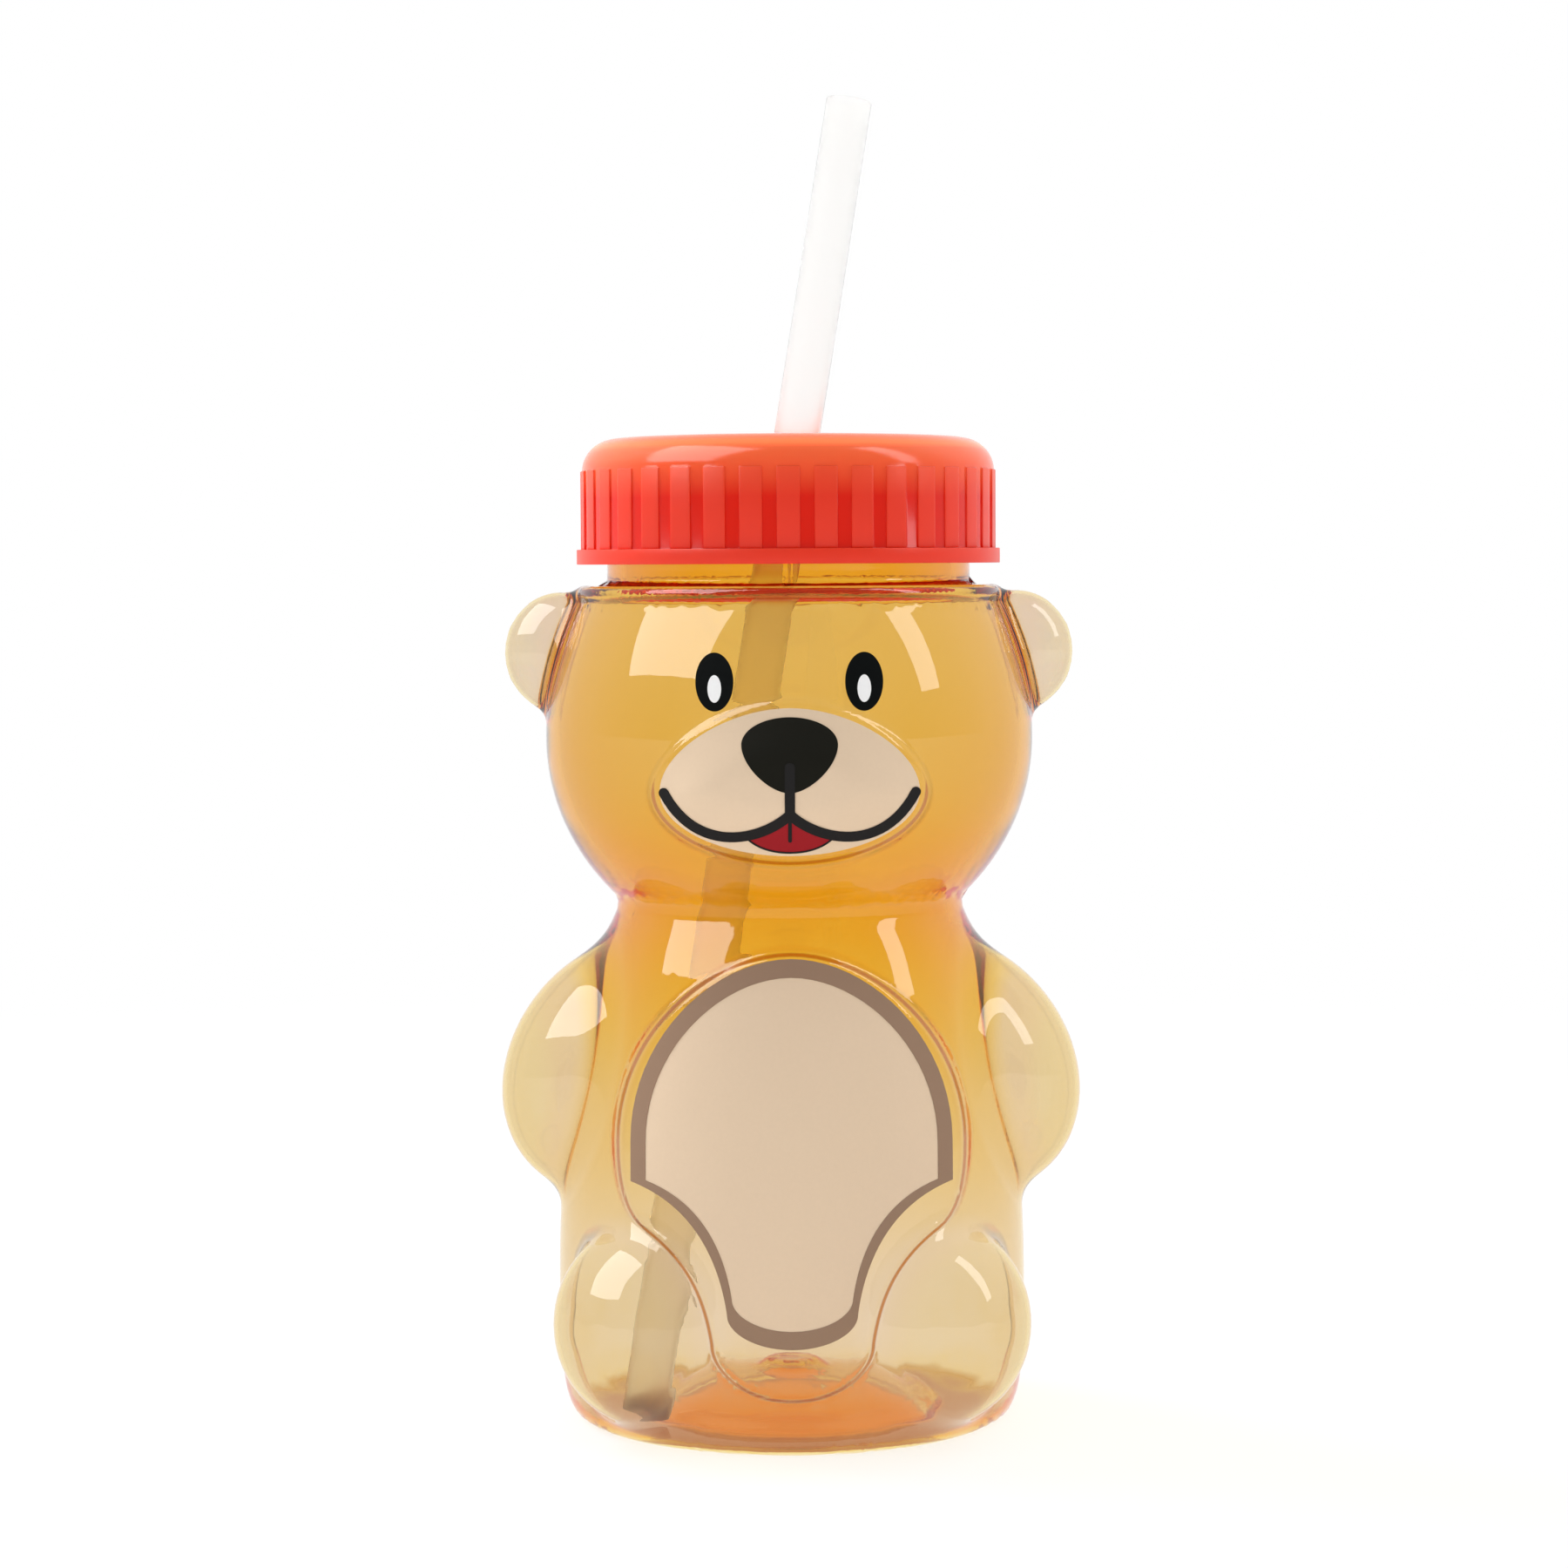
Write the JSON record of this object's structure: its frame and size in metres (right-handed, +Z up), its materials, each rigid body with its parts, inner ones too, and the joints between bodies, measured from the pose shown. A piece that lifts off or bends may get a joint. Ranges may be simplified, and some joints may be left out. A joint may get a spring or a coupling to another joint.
{
  "type": "bear-shaped water bottle",
  "caption": "Translucent bear-shaped drinking bottle with a ribbed screw lid, a straight straw through the lid, a printed face and a printed tummy patch.",
  "frame": {"origin": "on the ground under the middle of the object's box; the bottle's upright axis is 1.8 mm behind it", "axes": "+Z up, the bear faces -Y, +X to the right as seen from the front"},
  "size_m": [0.0908, 0.079, 0.2056],
  "materials": {
    "amber_shell": "clear amber blow-moulded plastic, glossy",
    "red_lid": "orange-red moulded plastic, satin gloss, slightly translucent",
    "gasket_silicone": "soft white silicone",
    "straw_plastic": "translucent white extruded plastic",
    "brown_ink": "flat screen-printed ink",
    "tan_ink": "flat screen-printed ink",
    "nose_ink": "flat screen-printed ink",
    "mouth_ink": "flat screen-printed ink",
    "red_ink": "flat screen-printed ink",
    "eye_ink": "flat screen-printed ink",
    "white_ink": "flat screen-printed ink"
  },
  "bodies": {
    "bottle": {"bottle_shell": "amber_shell", "tummy_border": "brown_ink", "tummy_field": "tan_ink", "muzzle_patch": "tan_ink", "nose": "nose_ink", "mouth_line": "mouth_ink", "tongue": "red_ink", "eye_left": "eye_ink", "eye_right": "eye_ink", "eye_glint_left": "white_ink", "eye_glint_right": "white_ink"},
    "lid_seal": {"lid_gasket": "gasket_silicone"},
    "lid": {"screw_lid": "red_lid"},
    "straw": {"straw": "straw_plastic"}
  },
  "joints": [
    {"name": "lid_rise", "type": "slide", "parent": "bottle", "child": "lid_seal", "axis": [0, 0, 1], "range_m": [0, 0.0158]},
    {"name": "lid_turn", "type": "hinge", "parent": "lid_seal", "child": "lid", "pos_m": [0, 0.00183, 0.142], "axis": [0, 0, 1], "range_deg": [0, 1260]},
    {"name": "straw_pull", "type": "slide", "parent": "lid", "child": "straw", "axis": [0.1588, 0.0961, 0.9826], "range_m": [0, 0.156]}
  ],
  "couplings": [
    {"joint": "lid_rise", "follows": "lid_turn", "m_per_rad": 0.0007162}
  ]
}
